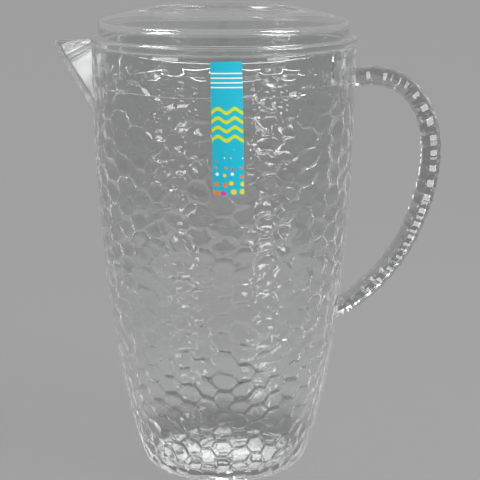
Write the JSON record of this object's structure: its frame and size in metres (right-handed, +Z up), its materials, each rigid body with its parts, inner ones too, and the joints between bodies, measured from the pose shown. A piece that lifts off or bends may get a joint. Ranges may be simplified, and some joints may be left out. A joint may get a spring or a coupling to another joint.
{
  "type": "pitcher with lid",
  "caption": "Clear plastic pitcher with a hammered tapering wall, V-shaped spout, faceted C handle and a lift-off lid whose skirt has a pour window and strainer comb.",
  "frame": {"origin": "centre of the jug's flat foot, on the jug's axis", "axes": "+Z up along the jug's axis; -X towards the spout, +X towards the handle, -Y towards the label"},
  "size_m": [0.2134, 0.1441, 0.2574],
  "materials": {
    "clear_jug": "crystal clear, polished, hammered outside",
    "clear_handle": "crystal clear, polished, faceted",
    "clear_lid": "crystal clear, polished",
    "label_paper": "semi-gloss printed paper"
  },
  "bodies": {
    "jug": {"jug_body": "clear_jug", "handle": "clear_handle", "label": "label_paper"},
    "lid": {"lid": "clear_lid"}
  },
  "joints": [
    {"name": "lid_lift", "type": "slide", "parent": "jug", "child": "lid", "axis": [0, 0, 1], "range_m": [0, 0.12]}
  ]
}
